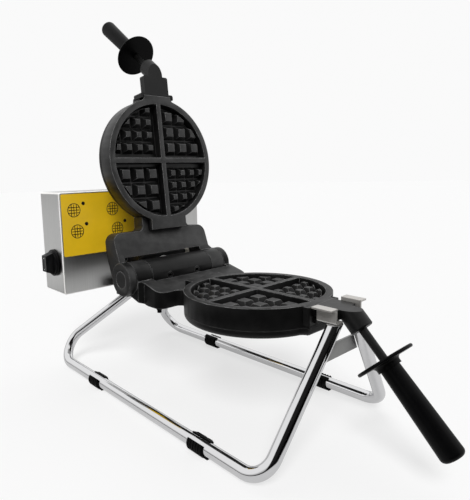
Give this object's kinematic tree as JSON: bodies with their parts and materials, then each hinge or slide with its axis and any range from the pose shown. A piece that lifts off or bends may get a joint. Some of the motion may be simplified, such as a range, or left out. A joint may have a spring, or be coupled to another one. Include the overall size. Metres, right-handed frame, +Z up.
{
  "type": "commercial waffle maker",
  "caption": "Round commercial waffle maker: two hinged cast irons with angled handles on a bent chromed tube stand, with a steel control box behind.",
  "frame": {"origin": "on the floor under the middle of the whole machine's box", "axes": "+Z up, -Y towards the user and the grips, +X to the user's right; the hinge shaft lies along X"},
  "size_m": [0.3008, 0.6184, 0.5903],
  "materials": {
    "cast_iron": "black, satin, fine cast grain",
    "cast_iron_bracket": "black satin paint",
    "black_screw": "blackened",
    "steel_screw": "plain turned steel",
    "chrome": "polished",
    "black_plastic": "satin",
    "heater_steel": "oxidised sheath",
    "brushed_steel": "brushed sheet",
    "rubber": "matte",
    "pale_plastic": "moulded",
    "sleeve_rubber": "woven sleeve, matte"
  },
  "bodies": {
    "stand": {"hinge_shaft": "cast_iron", "hinge_barrel": "cast_iron", "barrel_set_screws": "black_screw", "swivel_shaft": "steel_screw", "swivel_bolts": "steel_screw", "swivel_nut": "steel_screw", "thrust_washer": "steel_screw", "pivot_housing": "cast_iron", "housing_bolts": "steel_screw", "left_frame_tube": "chrome", "right_frame_tube": "chrome", "front_crossbar": "chrome", "left_rest_plate": "brushed_steel", "right_rest_plate": "brushed_steel", "left_front_foot": "rubber", "left_rear_foot": "rubber", "right_front_foot": "rubber", "right_rear_foot": "rubber", "control_box_shell": "brushed_steel", "control_box_back": "brushed_steel", "back_screws": "steel_screw", "cord_gland": "black_plastic", "heat_control": "pale_plastic", "terminal_block": "pale_plastic", "wiring_sleeve": "sleeve_rubber", "sleeve_band": "steel_screw", "barrel_gland": "steel_screw", "sleeve_grommet": "rubber"},
    "lower_iron": {"lower_grid": "cast_iron", "lower_cover": "cast_iron", "lower_hinge_casting": "cast_iron", "lower_casting_screws": "black_screw", "lower_neck_bracket": "cast_iron_bracket", "lower_neck_screws": "steel_screw", "lower_handle_lug": "cast_iron_bracket", "lower_lug_screws": "steel_screw", "lower_handle_rod": "cast_iron_bracket", "lower_hand_guard": "black_plastic", "lower_grip": "black_plastic", "lower_heater": "heater_steel", "lower_sensor": "heater_steel", "lower_cover_screws": "steel_screw"},
    "upper_iron": {"upper_grid": "cast_iron", "upper_cover": "cast_iron", "upper_hinge_casting": "cast_iron", "upper_casting_screws": "black_screw", "upper_neck_bracket": "cast_iron_bracket", "upper_neck_screws": "steel_screw", "upper_handle_lug": "cast_iron_bracket", "upper_lug_screws": "steel_screw", "upper_handle_rod": "cast_iron_bracket", "upper_hand_guard": "black_plastic", "upper_grip": "black_plastic", "upper_heater": "heater_steel", "upper_sensor": "heater_steel", "upper_cover_screws": "steel_screw"},
    "knob": {"control_knob": "black_plastic", "knob_spindle": "steel_screw"}
  },
  "joints": [
    {"name": "lower_iron_lift", "type": "hinge", "parent": "stand", "child": "lower_iron", "pos_m": [0.0089, 0.12277, 0.172], "axis": [-1, 0, 0], "range_deg": [0, 16]},
    {"name": "upper_iron_swing", "type": "hinge", "parent": "lower_iron", "child": "upper_iron", "pos_m": [0.0089, 0.12277, 0.172], "axis": [-1, 0, 0], "range_deg": [-95.7, 0]},
    {"name": "knob_turn", "type": "hinge", "parent": "stand", "child": "knob", "pos_m": [-0.1334, 0.25477, 0.188], "axis": [-1, 0, 0], "range_deg": [0, 270]}
  ]
}
